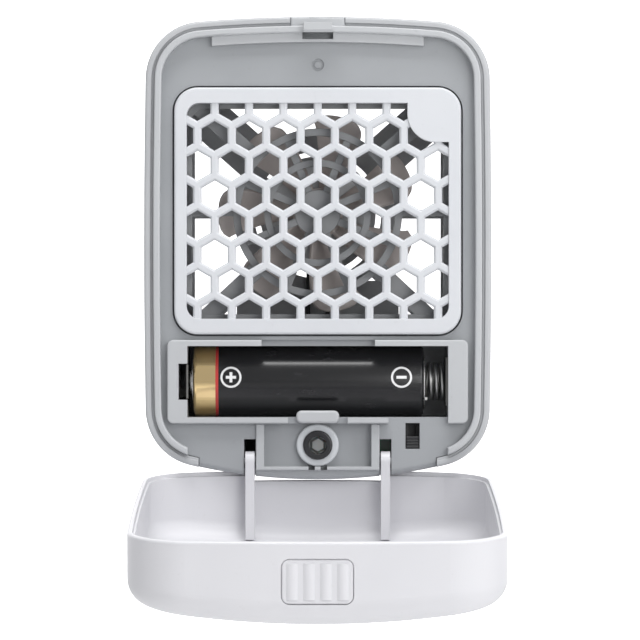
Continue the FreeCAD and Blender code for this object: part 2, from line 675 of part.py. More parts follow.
def motor_can():
    can = disc(0, FAN_Z, MOTOR_R, MOTOR_FRONT, MOTOR_BACK - 1.6)
    can = round_edges(can, 0.8, lambda e: at_y(e, MOTOR_FRONT))
    can = can.fuse(disc(0, FAN_Z, 3.0, MOTOR_FRONT - 0.7, MOTOR_FRONT + 0.1))
    can = can.cut(disc(0, FAN_Z, MOTOR_R - 0.8, MOTOR_FRONT + 0.8, 0))
    cuts = [disc(0, FAN_Z, 2.2, MOTOR_FRONT - 2, 0)]
    cuts += [disc(s * 6.5, FAN_Z, 0.85, MOTOR_FRONT - 2, -6) for s in (-1, 1)]
    return cut_all(can, cuts)


def motor_end_cap():
    y0 = MOTOR_BACK - 1.6
    cap = disc(0, FAN_Z, MOTOR_R, y0, MOTOR_BACK).fuse(disc(0, FAN_Z, MOTOR_R - 0.85, y0 - 0.6, y0 + 0.1))
    cuts = [disc(0, FAN_Z, 2.2, y0 - 2, 0)]
    cuts += [box(s * 7.0 - 0.25, s * 7.0 + 0.25, -5, 0, FAN_Z - 1.2, FAN_Z + 1.2) for s in (-1, 1)]
    return cut_all(cap, cuts)


def motor_magnets():
    shell = ring(0, FAN_Z, 8.0, MOTOR_R - 0.8, MOTOR_FRONT + 1.2, MOTOR_BACK - 3.4)
    gaps = [box(-12, 12, -12, 0, FAN_Z - 1.8, FAN_Z + 1.8)]
    return cut_all(shell, gaps)


def armature_core():
    """Three T-shaped poles on a hub."""
    y0, y1 = MOTOR_FRONT + 2.2, MOTOR_BACK - 4.0
    parts = [disc(0, FAN_Z, 2.4, y0, y1)]
    rim = arc_slots(0, FAN_Z, 6.8, 7.7, y0, y1, 3, 20, 60)
    parts += [strut(7.2, 1.8, y0, y1, 120.0 * i) for i in range(3)]
    return fused(parts + rim.Solids).cut(disc(0, FAN_Z, SHAFT_R, y0 - 1, y1 + 1))


def armature_windings():
    y0, y1 = MOTOR_FRONT + 1.6, MOTOR_BACK - 3.4
    coils = []
    for i in range(3):
        pack = box(3.4, 6.3, y0, y1, -2.3, 2.3)
        core = box(3.0, 7.0, y0 + 0.58, y1 - 0.58, -0.92, 0.92)
        pack = pack.cut(core)
        pack.rotate(V(0, 0, 0), V(0, -1, 0), 120.0 * i)
        pack.translate(V(0, 0, FAN_Z))
        coils.append(pack)
    return Part.makeCompound(coils)


def commutator():
    y0 = MOTOR_BACK - 3.35
    barrel = arc_slots(0, FAN_Z, 1.6, 2.1, y0, MOTOR_BACK - 1.7, 3, 8, 0)
    core = ring(0, FAN_Z, SHAFT_R, 1.65, y0, MOTOR_BACK - 1.7)
    return fused([core] + barrel.Solids)


def motor_bushes():
    front = ring(0, FAN_Z, SHAFT_R + BUSH_RUN, 2.2, MOTOR_FRONT - 0.7, MOTOR_FRONT + 1.3)
    back = ring(0, FAN_Z, SHAFT_R + BUSH_RUN, 2.2, MOTOR_BACK - 1.5, MOTOR_BACK)
    return Part.makeCompound([front, back])


def motor_shaft():
    return disc(0, FAN_Z, SHAFT_R, ROTOR_FRONT + 1.2, MOTOR_BACK - 0.2)


def motor_brushes():
    """Two springy strips that press on the commutator, each fixed to its terminal."""
    y0, y1 = MOTOR_BACK - 3.2, MOTOR_BACK - 2.25
    brushes = [box(s * 2.25 - 0.1, s * 2.25 + 0.1, y0, y1, FAN_Z - 1.5, FAN_Z + 4.0) for s in (-1, 1)]
    feet = [box(x, x + 5.0, y0, y1, FAN_Z + 3.9, FAN_Z + 4.1) for x in (-7.2, 2.2)]
    return Part.makeCompound([fused([b, f]) for b, f in zip(brushes, feet)])


def motor_terminals():
    y0, y1 = MOTOR_BACK - 2.2, MOTOR_BACK + 0.8
    tabs = [box(s * 7.0 - 0.25, s * 7.0 + 0.25, y0, y1, FAN_Z - 1.2, FAN_Z + 1.2)
            for s in (-1, 1)]
    return Part.makeCompound(tabs)


# Power -------------------------------------------------------------------------------


def aa_jacket():
    jacket = cross_rod(AA_Y, BAY_Z, AA_R, AA_LEFT, AA_RIGHT)
    return round_edges(jacket, 0.5, lambda e: abs(e.BoundBox.XLength) < 1e-6)


def aa_positive():
    plate = cross_rod(AA_Y, BAY_Z, 4.6, AA_LEFT - 0.25, AA_LEFT)
    nub = cross_rod(AA_Y, BAY_Z, NUB_R, AA_LEFT - NUB_LEN, AA_LEFT - 0.2)
    nub = round_edges(nub, 0.4, lambda e: abs(e.BoundBox.XMax - AA_LEFT + NUB_LEN) < 1e-6)
    return fused([plate, nub])


def aa_negative():
    return cross_rod(AA_Y, BAY_Z, 5.6, AA_RIGHT, AA_RIGHT + 0.25)


def positive_contact():
    x1 = AA_LEFT - NUB_LEN
    plate = box(x1 - 0.4, x1, -21.6, -8.4, BAY_Z - 3.5, BAY_Z + 3.5)
    tail = box(x1 - 2.5, x1 - 0.3, -8.8, -8.4, BAY_Z - 3.5, BAY_Z - 1.5)
    return fused([plate, tail])


def negative_contact():
    plate = box(BAY_HALF_W - 0.4, BAY_HALF_W, -21.6, -8.4, BAY_Z - 5.0, BAY_Z + 5.0)
    tail = box(BAY_HALF_W - 0.1, BAY_HALF_W + 2.4, -8.8, -8.4, BAY_Z - 4.2, BAY_Z - 2.2)
    return fused([plate, tail])


def negative_spring():
    wire = 0.35
    length = BAY_HALF_W - 0.4 - (AA_RIGHT + 0.25)
    turns = 3.0
    pitch = (length - 2 * wire - 0.04) / turns
    return coil(3.6, wire, pitch, turns, V(AA_RIGHT + 0.27 + wire, AA_Y, BAY_Z), V(1, 0, 0))


# Electronics -------------------------------------------------------------------------


def circuit_board():
    board = box(-12.0, 23.5, BOARD_FRONT, BOARD_FRONT + BOARD_T, -43.6, -37.3)
    return cut_all(board, [disc(x, -38.6, 0.65, -20, 0) for x in (-9.6, 15.6)])


def driver_chip():
    y0 = BOARD_FRONT + BOARD_T
    body = box(2.0, 6.0, y0 + 0.15, y0 + 1.6, -42.4, -38.6)
    legs = [box(1.2, 6.8, y0, y0 + 0.4, z - 0.2, z + 0.2) for z in (-41.8, -40.9, -40.1, -39.2)]
    return fused([body] + legs)


def storage_capacitor():
    y0 = BOARD_FRONT + BOARD_T
    can = disc(-5.5, -40.6, 2.0, y0, y0 + 4.2)
    return round_edges(can, 0.3, lambda e: at_y(e, y0 + 4.2))


def board_screws():
    y0 = BOARD_FRONT + BOARD_T
    screws = []
    for x in (-9.6, 15.6):
        head = disc(x, -38.6, 1.2, y0, y0 + 0.9)
        slot = box(x - 0.8, x + 0.8, y0 + 0.5, y0 + 1.0, -38.75, -38.45)
        screws.append(head.cut(slot).fuse(disc(x, -38.6, 0.6, y0 - 3.5, y0)).removeSplitter())
    return Part.makeCompound(screws)


def switch_body():
    mid = (SWITCH_LOW + SWITCH_HIGH) / 2 - 0.4
    body = box(SWITCH_X - 2.0, SWITCH_X + 2.0, -19.4, BOARD_FRONT, mid - 3.0, mid + 2.9)
    window = box(SWITCH_X - 0.8, SWITCH_X + 0.8, -20, -17.6, SWITCH_LOW + 0.1, SWITCH_HIGH - 0.4)
    return body.cut(window)


def switch_knob():
    """The knob stands in its lower position."""
    low = SWITCH_LOW + 0.15
    knob = box(SWITCH_X - 1.3, SWITCH_X + 1.3, -22.0, -19.5, low, low + KNOB_H)
    stem = box(SWITCH_X - 0.7, SWITCH_X + 0.7, -19.6, -17.8, low + 0.4, low + KNOB_H - 0.3)
    left, right = SWITCH_X - 1.4, SWITCH_X + 1.4
    ribs = [box(left, right, -22.1, -21.8, low + k, low + k + 0.25) for k in (0.5, 1.1, 1.7)]
    return fused([knob, stem]).cut(Part.makeCompound(ribs))


def status_lamp():
    """A round lens with a six-sided face, on two legs."""
    face_y = PANEL_FLOOR - 0.8
    body = disc(0, LAMP_Z, LAMP_R, face_y, face_y + 3.4)
    face = hexagon(0, LAMP_Z, 2.2, face_y - 0.7, face_y + 0.01, 3.05)
    flange = disc(0, LAMP_Z, LAMP_R + 0.3, face_y + 2.6, face_y + 3.4)
    leg = 0.22
    parts = [body, face, flange]
    for x in (-0.6, 0.6):
        parts.append(box(x - leg, x + leg, face_y + 3.3, BOARD_FRONT, LAMP_Z - leg, LAMP_Z + leg))
    return fused(parts)


def lamp_holder():
    y0 = PANEL_FLOOR - 2.2
    holder = disc(0, LAMP_Z, HOLDER_R, y0, PANEL_FLOOR + 1.4)
    holder = holder.cut(disc(0, LAMP_Z, LAMP_R + 0.1, y0 - 1, PANEL_FLOOR + 2))
    return round_edges(holder, 0.35, lambda e: at_y(e, y0) and e.BoundBox.XLength > 5)


def lamp_collar():
    y0 = PANEL_FLOOR - 1.6
    collar = ring(0, LAMP_Z, HOLDER_R, COLLAR_R, y0, PANEL_FLOOR)
    return round_edges(collar, 0.4, lambda e: at_y(e, y0) and e.BoundBox.XLength > 7)


def wire_run(points, radius):
    """A round lead along straight runs, with a ball at each bend."""
    solids = []
    for a, b in zip(points, points[1:]):
        a, b = V(*a), V(*b)
        solids.append(Part.makeCylinder(radius, (b - a).Length, a, b - a))
    solids += [Part.makeSphere(radius, V(*p)) for p in points[1:-1]]
    return fused(solids)


def positive_lead():
    back = BOARD_FRONT + BOARD_T
    return wire_run([(-28.5, -8.4, -31.0), (-28.5, -4.6, -31.0), (-24.0, -4.6, -33.0), (-9.0, -4.6, -41.6),
                     (-9.0, back, -41.6)], LEAD_R)


def negative_lead():
    back = BOARD_FRONT + BOARD_T
    return wire_run([(28.5, -8.4, -31.5), (28.5, -4.6, -31.5), (22.0, -4.6, -34.0), (21.6, -4.6, -41.6),
                     (21.6, back, -41.6)], LEAD_R)


def motor_leads():
    """They leave the motor's back in the gap behind it and drop behind the cell to the board."""
    back = BOARD_FRONT + BOARD_T
    leads = []
    for side, end_x in ((-1, -2.0), (1, 0.2)):
        points = [(side * 7.0, -1.5, FAN_Z - 1.6), (side * 2.0, -1.5, -3.4), (side * 2.0, -1.5, -18.6),
                  (side * 2.0, -4.0, -21.0), (end_x, -4.0, -39.6), (end_x, back, -39.6)]
        leads.append(wire_run(points, MOTOR_LEAD_R))
    return Part.makeCompound(leads)


def case_screws():
    screws = []
    for x, z in SCREWS:
        head = disc(x, z, 2.0, -1.4, -0.4)
        cross = box(x - 1.1, x + 1.1, -0.8, 0, z - 0.22, z + 0.22)
        cross = cross.fuse(box(x - 0.22, x + 0.22, -0.8, 0, z - 1.1, z + 1.1))
        screws.append(head.cut(cross).fuse(disc(x, z, 0.85, -13.0, -1.3)).removeSplitter())
    return Part.makeCompound(screws)


PARTS = {
    "rear_housing": rear_housing,
    "motor_bracket": motor_bracket,
    "front_deck": front_deck,
    "fan_guard": fan_guard,
    "case_screws": case_screws,
    "hinge_pins": hinge_pins,
    "front_cover": lambda: swung_open(front_cover()),
    "latch_button": lambda: swung_open(latch_button()),
    "latch_spring": lambda: swung_open(latch_spring()),
    "refill_honeycomb": refill_honeycomb,
    "fan_rotor": fan_rotor,
    "motor_shaft": motor_shaft,
    "motor_can": motor_can,
    "motor_end_cap": motor_end_cap,
    "motor_magnets": motor_magnets,
    "armature_core": armature_core,
    "armature_windings": armature_windings,
    "commutator": commutator,
    "motor_brushes": motor_brushes,
    "motor_bushes": motor_bushes,
    "motor_terminals": motor_terminals,
    "cell_jacket": aa_jacket,
    "cell_positive_cap": aa_positive,
    "cell_negative_cap": aa_negative,
    "positive_contact": positive_contact,
    "negative_contact": negative_contact,
    "negative_spring": negative_spring,
    "circuit_board": circuit_board,
    "driver_chip": driver_chip,
    "storage_capacitor": storage_capacitor,
    "board_screws": board_screws,
    "switch_body": switch_body,
    "switch_knob": switch_knob,
    "status_lamp": status_lamp,
    "lamp_holder": lamp_holder,
    "lamp_collar": lamp_collar,
    "positive_lead": positive_lead,
    "negative_lead": negative_lead,
    "motor_leads": motor_leads,
}

os.makedirs("parts", exist_ok=True)
for name, make in PARTS.items():
    shape = make()
    solids = shape.Solids
    shape = solids[0] if len(solids) == 1 else Part.makeCompound(solids)
    shape.exportStep(f"parts/{name}.step")
    print(f"{name}: {len(solids)} solid(s), {shape.Volume:.1f} mm3, valid {shape.isValid()}")
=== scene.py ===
# %% [markdown]
# # A wall air freshener with its cover hanging open
#
# The fixed frame of this object comes from a CAD model: a grey case with a fan, a white honeycomb scent
# refill, a bay with one AA cell, and a white cover that hangs on two arms. The frame already has the
# right sizes, and every joint. What it lacks is the look. This lesson gives each part its finish, and
# builds two pieces again where the CAD solid is too plain for the eye: the cell's printed sleeve and the
# fan wheel.
#
# Everything is in metres, in the CAD's own frame: +Z is up, and the deck with the fan faces -Y.

# %% Load the frame and measure it
import json
import math

import bmesh
import bpy
from mathutils import Matrix, Vector


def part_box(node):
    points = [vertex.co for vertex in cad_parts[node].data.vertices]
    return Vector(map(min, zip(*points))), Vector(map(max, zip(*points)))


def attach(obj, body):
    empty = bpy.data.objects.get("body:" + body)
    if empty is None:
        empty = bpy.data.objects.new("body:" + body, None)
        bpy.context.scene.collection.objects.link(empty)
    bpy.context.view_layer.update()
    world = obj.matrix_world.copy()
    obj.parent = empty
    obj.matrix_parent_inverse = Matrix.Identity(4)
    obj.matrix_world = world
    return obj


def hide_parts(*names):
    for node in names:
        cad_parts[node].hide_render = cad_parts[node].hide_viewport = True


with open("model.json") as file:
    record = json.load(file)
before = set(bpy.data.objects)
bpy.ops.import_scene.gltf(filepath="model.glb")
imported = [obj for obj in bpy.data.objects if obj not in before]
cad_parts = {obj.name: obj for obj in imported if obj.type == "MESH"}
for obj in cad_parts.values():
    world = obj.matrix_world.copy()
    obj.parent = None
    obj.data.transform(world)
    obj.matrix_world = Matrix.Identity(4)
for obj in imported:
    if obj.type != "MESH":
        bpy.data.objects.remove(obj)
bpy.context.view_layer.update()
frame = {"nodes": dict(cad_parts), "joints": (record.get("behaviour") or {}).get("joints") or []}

MM = 0.001
nodes = frame["nodes"]

# %% [markdown]
# ## Writing shader maths as Python
#
# A material is a graph of nodes, and joining them one link at a time hides the idea behind the plumbing.
# The class below wraps an output socket, so that `mask * 0.5 + 0.2` adds the two Math nodes by itself,
# and `1 - mask` works too. Numbers alone stay in Python. Colours never pass through a Math node, because
# it would turn them grey: they go through Mix.

# %% A socket that can be used in an expression
class Signal:
    """A number that varies over the surface."""

    def __init__(self, finish, socket):
        self.finish = finish
        self.socket = socket

    def _math(self, operation, first, second=0.0):
        return self.finish.node("ShaderNodeMath", {"operation": operation}, {0: first, 1: second})

    def __add__(self, other):
        return self._math("ADD", self, other)

    def __sub__(self, other):
        return self._math("SUBTRACT", self, other)

    def __rsub__(self, other):
        return self._math("SUBTRACT", other, self)

    def __mul__(self, other):
        return self._math("MULTIPLY", self, other)

    def __pow__(self, other):
        return self._math("POWER", self, other)

    def __gt__(self, other):
        return self._math("GREATER_THAN", self, other)

    def __lt__(self, other):
        return self._math("LESS_THAN", self, other)

    def abs(self):
        return self._math("ABSOLUTE", self)

    def larger(self, other):
        return self._math("MAXIMUM", self, other)

    def between(self, low, high):
        """1 where the value lies between two limits, and 0 elsewhere."""
        return (self > low) * (self < high)

    def ease(self, low, high):
        """0 below low, 1 above high, with a smooth step between them."""
        inputs = {"Value": self, "From Min": low, "From Max": high}
        return self.finish.node("ShaderNodeMapRange", {"interpolation_type": "SMOOTHSTEP"}, inputs)

    __radd__ = __add__
    __rmul__ = __mul__


# %% [markdown]
# A `Finish` is one material with a Principled shader in it. Its `node` method takes a node's type, then
# its settings, such as the operation of a Math node, and then what goes into its sockets. Settings come
# first because they decide which sockets exist.

# %% One material and the nodes in it
class Finish:
    """A material built around one Principled shader."""

    def __init__(self, name, roughness=0.5, **constants):
        self.material = bpy.data.materials.new(name)
        self.material.use_nodes = True
        self.tree = self.material.node_tree
        self.shader = self.tree.nodes["Principled BSDF"]
        self.shader.inputs["Roughness"].default_value = roughness
        for socket, value in constants.items():
            self.shader.inputs[socket.replace("_", " ")].default_value = value

    def node(self, kind, settings=None, inputs=None, output=0):
        made = self.tree.nodes.new(kind)
        for setting, value in (settings or {}).items():
            setattr(made, setting, value)
        for key, value in (inputs or {}).items():
            if isinstance(value, Signal):
                self.tree.links.new(value.socket, made.inputs[key])
            else:
                made.inputs[key].default_value = value
        return Signal(self, made.outputs[output])

    def place(self):
        """The point on the surface in the object's own metres."""
        return self.node("ShaderNodeTexCoord", output="Object")

    def axes(self):
        """The same point as three separate numbers."""
        split = self.node("ShaderNodeSeparateXYZ", {}, {"Vector": self.place()}).socket.node
        return [Signal(self, socket) for socket in split.outputs]

    def noise(self, size, detail=2.0, rough=0.5, stretch=(1.0, 1.0, 1.0)):
        """Soft random patches of about this size, in metres."""
        scaled = self.node("ShaderNodeVectorMath", {"operation": "MULTIPLY"}, {0: self.place(), 1: stretch})
        inputs = {"Vector": scaled, "Scale": 1.0 / size, "Detail": detail, "Roughness": rough}
        return self.node("ShaderNodeTexNoise", {}, inputs, "Fac")

    def blend(self, colour, other, amount):
        """One colour shading into another where amount goes from 0 to 1."""
        inputs = {"Factor": amount, 6: colour, 7: other}
        return self.node("ShaderNodeMix", {"data_type": "RGBA"}, inputs, 2)

    def feed(self, **signals):
        for socket, signal in signals.items():
            self.tree.links.new(signal.socket, self.shader.inputs[socket.replace("_", " ")])

    def relief(self, height, depth, soften=0.0):
        """Bumps of the given depth, on edges that the eye reads as rounded by soften."""
        inputs = {"Height": height, "Distance": depth, "Strength": 1.0}
        if soften:
            inputs["Normal"] = self.node("ShaderNodeBevel", {"samples": 6}, {"Radius": soften})
        self.feed(Normal=self.node("ShaderNodeBump", {}, inputs))


def rgb(red, green, blue):
    return (red, green, blue, 1.0)


def paint(finish, *names):
    """Gives CAD nodes a finish by filling their material slots."""
    for name in names:
        slots = nodes[name].data.materials
        slots.clear()
        slots.append(finish.material)
    print(f"{finish.material.name}: {', '.join(names)}")


# %% [markdown]
# ## Moulded plastic
#
# Injection-moulded shells are never one flat colour. The mould is spark-eroded, which leaves a grain of
# about a third of a millimetre. The flow of the plastic shifts its tone over centimetres, and handling
# leaves a film that polishes some patches. All three are noise at different sizes: the grain goes into
# the bump, and the patches go into colour and roughness. Real edges have a small radius that catches
# light, so a Bevel node rounds the normal. On the deck, whatever stands forward of its floor is painted a
# lighter grey than the floor itself: painted shade on the recessed floor, painted light on what stands
# forward of it.

# %% A function for every moulded shell
DECK_FLOOR = 0.0227
DECK_RIM = 0.0234
SPECK_STRENGTH = 0.16
FILM_STRENGTH = 0.16


def moulded(name, light, dark, roughness, grain=0.00035, depth=0.000008, soften=0.0002,
            painted_light_raised=None, **constants):
    """A shell's plastic. painted_light_raised is a lighter colour painted on what stands forward of the
    deck's floor: painted light there, painted shade on the floor.
    """
    finish = Finish(name, roughness, **constants)
    flow = finish.noise(0.022, 3.0)
    film = finish.noise(0.006, 4.0, 0.6)
    speck = finish.noise(0.0011, 1.0).ease(0.70, 0.78)
    tone = finish.blend(light, dark, flow.ease(0.25, 0.75))
    # Painted shade and light: the recessed deck floor keeps the darker tone, and what stands forward of it
    # is painted lighter.
    if painted_light_raised:
        forward = finish.axes()[1] * -1.0
        tone = finish.blend(tone, painted_light_raised, forward.ease(DECK_FLOOR, DECK_RIM))
    grubby = rgb(dark[0] * 0.86, dark[1] * 0.85, dark[2] * 0.83)
    finish.feed(Base_Color=finish.blend(tone, grubby, speck * SPECK_STRENGTH))
    finish.feed(Roughness=film * FILM_STRENGTH + (roughness - FILM_STRENGTH / 2))
    finish.relief(finish.noise(grain, 2.0, 0.6), depth, soften)
    return finish


# %% [markdown]
# The case is a cool light grey, the cover and its latch are whiter, and the guard over the fan is a
# darker grey. Each finish takes a light and a dark tone and its roughness, so that one function serves
# them all and every shell keeps a tone of its own.

# %% The grey case, the white cover and the parts that share their plastic
case_grey = moulded("case_grey", rgb(0.455, 0.464, 0.478), rgb(0.425, 0.434, 0.448), 0.42)
# The deck's floor is painted darker than what stands forward of it: painted shade in the recess.
deck_grey = moulded("deck_grey", rgb(0.340, 0.352, 0.367), rgb(0.312, 0.324, 0.338), 0.38, 0.0003, 0.000005,
                    painted_light_raised=rgb(0.455, 0.466, 0.480))
cover_white = moulded("cover_white", rgb(0.645, 0.642, 0.666), rgb(0.622, 0.620, 0.645), 0.40)
guard_grey = moulded("guard_grey", rgb(0.325, 0.330, 0.337), rgb(0.290, 0.295, 0.302), 0.46)
paint(case_grey, "rear_housing", "motor_bracket")
paint(deck_grey, "front_deck", "hinge_pins")
paint(cover_white, "front_cover", "latch_button")
paint(guard_grey, "fan_guard")
collar_white = moulded("collar_white", rgb(0.56, 0.58, 0.60), rgb(0.53, 0.55, 0.57), 0.34, 0.0002, 0.000003)
paint(collar_white, "lamp_collar")

# %% [markdown]
# ## The scent refill
#
# The honeycomb is a soft white polymer loaded with scent. Light enters it and comes out a millimetre
# away, so the thin walls glow a little and the shadows inside it are soft. Subsurface scattering does
# that, and a small radius is enough: too large a one would turn the comb to wax.

# %% The refill's finish
refill_white = moulded("refill_white", rgb(0.615, 0.627, 0.652), rgb(0.592, 0.606, 0.632), 0.36, 0.0006,
                       0.000006, 0.00022, Subsurface_Weight=0.12, Subsurface_Radius=(0.9, 1.0, 1.0),
                       Subsurface_Scale=0.0009)
paint(refill_white, "refill_honeycomb")

# %% [markdown]
# ## Metals
#
# Plated steel is bright, but its roughness shows how it was made: drawn wire has lines along it, and
# rolled strip has faint brushing. Stretching the noise along one axis draws those lines.

# %% Metals, from plated strip to copper
def metal(name, colour, dull, roughness, stretch=(1.0, 1.0, 0.08), grain=0.0004):
    finish = Finish(name, roughness, Metallic=1.0)
    lines = finish.noise(grain, 3.0, 0.6, stretch)
    stain = finish.noise(0.004, 3.0).ease(0.5, 0.8)
    finish.feed(Base_Color=finish.blend(colour, dull, stain * 0.5))
    finish.feed(Roughness=lines * 0.25 + (roughness - 0.1) + stain * 0.08)
    finish.relief(lines, 0.000003, 0.00008)
    return finish


nickel = metal("nickel", rgb(0.72, 0.71, 0.69), rgb(0.50, 0.49, 0.47), 0.26)
spring_steel = metal("spring_steel", rgb(0.66, 0.66, 0.65), rgb(0.42, 0.42, 0.42), 0.30)
zinc_steel = metal("zinc_steel", rgb(0.55, 0.56, 0.57), rgb(0.38, 0.39, 0.41), 0.38, (1.0, 0.08, 1.0))
lamination = metal("lamination_steel", rgb(0.36, 0.36, 0.37), rgb(0.22, 0.22, 0.23), 0.48, (1.0, 8.0, 1.0))
copper = metal("copper", rgb(0.70, 0.33, 0.20), rgb(0.42, 0.19, 0.12), 0.34)
bronze = metal("bronze", rgb(0.52, 0.36, 0.17), rgb(0.34, 0.24, 0.12), 0.50)
aluminium = metal("can_aluminium", rgb(0.70, 0.70, 0.71), rgb(0.55, 0.55, 0.56), 0.30, (1.0, 0.08, 1.0))
# The two contacts get a near-black copy of the plated strip: painted shade for the dark slots they sit in at
# the ends of the bay.
shaded_contact_strip = metal("shaded_contact_strip", rgb(0.22, 0.22, 0.21), rgb(0.12, 0.12, 0.12), 0.42)
paint(nickel, "cell_positive_cap", "cell_negative_cap")
paint(spring_steel, "negative_spring", "latch_spring")
paint(shaded_contact_strip, "positive_contact", "negative_contact")
paint(zinc_steel, "motor_can", "motor_shaft", "case_screws", "board_screws")
paint(lamination, "armature_core")
paint(copper, "armature_windings", "commutator", "motor_brushes", "motor_terminals")
paint(bronze, "motor_bushes")
paint(aluminium, "storage_capacitor")

# %% [markdown]
# ## Small dark parts and the circuit board
#
# These are mostly hidden, yet each has its own surface: nylon is matte, epoxy has a fine sand to it, and
# solder resist is a glossy green coat over a woven board.

# %% Dark plastics, magnets, wires, board and lamp
nylon_black = moulded("cap_black", rgb(0.035, 0.035, 0.036), rgb(0.022, 0.022, 0.023), 0.55)
switch_black = moulded("switch_black", rgb(0.030, 0.030, 0.032), rgb(0.018, 0.018, 0.020), 0.40)
holder_black = moulded("holder_black", rgb(0.026, 0.026, 0.028), rgb(0.014, 0.014, 0.016), 0.24,
                       0.0002, 0.000002)
chip_black = moulded("chip_black", rgb(0.040, 0.040, 0.042), rgb(0.028, 0.028, 0.030), 0.62,
                     0.00012, 0.000010)
ferrite = moulded("ferrite", rgb(0.075, 0.075, 0.080), rgb(0.045, 0.045, 0.050), 0.58, 0.00015, 0.000014)
red_wire = moulded("red_wire", rgb(0.50, 0.030, 0.026), rgb(0.38, 0.020, 0.020), 0.38, 0.0002, 0.000003)
black_wire = moulded("black_wire", rgb(0.034, 0.034, 0.036), rgb(0.020, 0.020, 0.022), 0.38,
                     0.0002, 0.000003)
board_green = moulded("board_green", rgb(0.030, 0.180, 0.075), rgb(0.022, 0.135, 0.060), 0.26,
                      0.0004, 0.000004, Coat_Weight=0.5)
lamp_clear = moulded("lamp_clear", rgb(0.26, 0.265, 0.26), rgb(0.20, 0.205, 0.20), 0.12, 0.0004, 0.000002,
                     Coat_Weight=0.8, Subsurface_Weight=0.2, Subsurface_Scale=0.0008)
paint(nylon_black, "motor_end_cap")
paint(switch_black, "switch_body", "switch_knob")
paint(holder_black, "lamp_holder")
paint(chip_black, "driver_chip")
paint(ferrite, "motor_magnets")
paint(red_wire, "positive_lead")
paint(black_wire, "negative_lead", "motor_leads")
paint(board_green, "circuit_board")
paint(lamp_clear, "status_lamp")

# %% [markdown]
# ## The printed cell
#
# An AA cell is a steel can in a printed sleeve that is shrunk over both ends. The sleeve curls over the
# shoulder and leaves a soft rim there. A turned profile gives that: a list of (along, radius) pairs spun
# about the axis. The print is not a picture but a drawing in numbers. A gold band is the range of x near
# the positive end. The polarity signs are rings and bars measured from their own centres.

# %% Spin a profile about an axis that runs along X
def spun(name, profile, centre, steps=96):
    """A turned solid. The profile holds (x, radius) pairs, and a radius of 0 closes an end."""
    mesh = bmesh.new()
    rings = []
    for x, radius in profile:
        if radius == 0:
            rings.append([mesh.verts.new((x, centre[0], centre[1]))])
            continue
        turn = [2 * math.pi * i / steps for i in range(steps)]
        rings.append([mesh.verts.new((x, centre[0] + radius * math.cos(a), centre[1] + radius * math.sin(a)))
                      for a in turn])
    for near, far in zip(rings, rings[1:]):
        for i in range(steps):
            j = (i + 1) % steps
            corners = [near[i % len(near)], near[j % len(near)], far[j % len(far)], far[i % len(far)]]
            mesh.faces.new(list(dict.fromkeys(corners)))
    bmesh.ops.recalc_face_normals(mesh, faces=mesh.faces)
    return as_object(name, mesh)


def as_object(name, mesh, smooth_deg=40.0):
    """Turns a bmesh into an object whose gentle angles shade smooth."""
    data = bpy.data.meshes.new(name)
    mesh.to_mesh(data)
    mesh.free()
    made = bpy.data.objects.new(name, data)
    bpy.context.scene.collection.objects.link(made)
    data.shade_smooth()
    for edge in data.edges:
        edge.use_edge_sharp = False
    data.set_sharp_from_angle(angle=math.radians(smooth_deg))
    return made


def rounded_run(x, radius, corner, toward, steps=5):
    """Profile points for a rounded shoulder at x; toward is -1 at a low end and 1 at a high end."""
    points = []
    for i in range(steps + 1):
        a = math.pi / 2 * i / steps
        along, up = corner * math.sin(a), corner * math.cos(a)
        points.append((x + toward * (along - corner), radius - corner + up))
    return points if toward > 0 else points[::-1]


# %% [markdown]
# The CAD model has the cell as a plain cylinder, which gives its length and radius. The sleeve is spun
# from those, with a small shoulder at each end and the film curled over it, so that its rim catches the
# light.

# %% Build the sleeve
cell_low, cell_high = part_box("cell_jacket")
cell_centre = ((cell_low.y + cell_high.y) / 2, (cell_low.z + cell_high.z) / 2)
CELL_R = (cell_high.z - cell_low.z) / 2
SHOULDER = 0.0007
CURL = 0.0013
CURL_DEPTH = 0.00025
CURL_OUT = 0.0002
CURL_IN = 0.0003


def curled_end(x, inward):
    """From the cell's axis out to the sleeve's rim. inward is the direction into the cell, 1 or -1."""
    rim = CELL_R - CURL
    floor = x + inward * CURL_DEPTH * 2
    return [(floor, 0), (floor, rim - CURL_IN), (x + inward * CURL_DEPTH, rim), (x, rim + CURL_OUT)]


def sleeve_profile():
    """Rim, shoulder, straight wall, shoulder and rim, with the sleeve curled over both ends."""
    low, high = cell_low.x, cell_high.x
    wall = rounded_run(low, CELL_R, SHOULDER, -1) + rounded_run(high, CELL_R, SHOULDER, 1)
    return curled_end(low, 1) + wall + curled_end(high, -1)[::-1]


sleeve = spun("cell_sleeve", sleeve_profile(), cell_centre)
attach(sleeve, "case")
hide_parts("cell_jacket")
print(f"sleeve: {(cell_high.x - cell_low.x) / MM:.1f} mm long, radius {CELL_R / MM:.2f} mm")

# %% [markdown]
# Printed film is glossy, with a faint haze of scuffs along it, and its gold band is a metallic ink. The
# band, the red line and both signs are masks over the surface, and each mask blends one colour over
# another.

# %% Print the sleeve
BAND_WIDTH = 0.0046
LINE_WIDTH = 0.0006
GOLD_END = cell_low.x + BAND_WIDTH
LINE_END = GOLD_END + LINE_WIDTH
PLUS_X = cell_low.x + 0.0078
MINUS_X = cell_high.x - 0.0046
SIGN_R = 0.00195
SIGN_LINE = 0.00042
SIGN_UP = 0.0009
BAR_LINE = 0.00058
BAR_HALF = 0.00105


def sign_mask(x, up, facing, centre, crossed):
    """A ring with a bar in it, and a second bar across the first for plus."""
    dx = x - centre
    away = (dx * dx + up * up) ** 0.5
    drawn = (away - SIGN_R).abs() < SIGN_LINE / 2
    drawn = drawn.larger((dx.abs() < BAR_HALF) * (up.abs() < BAR_LINE / 2))
    if crossed:
        drawn = drawn.larger((up.abs() < BAR_HALF) * (dx.abs() < BAR_LINE / 2))
    return drawn * facing


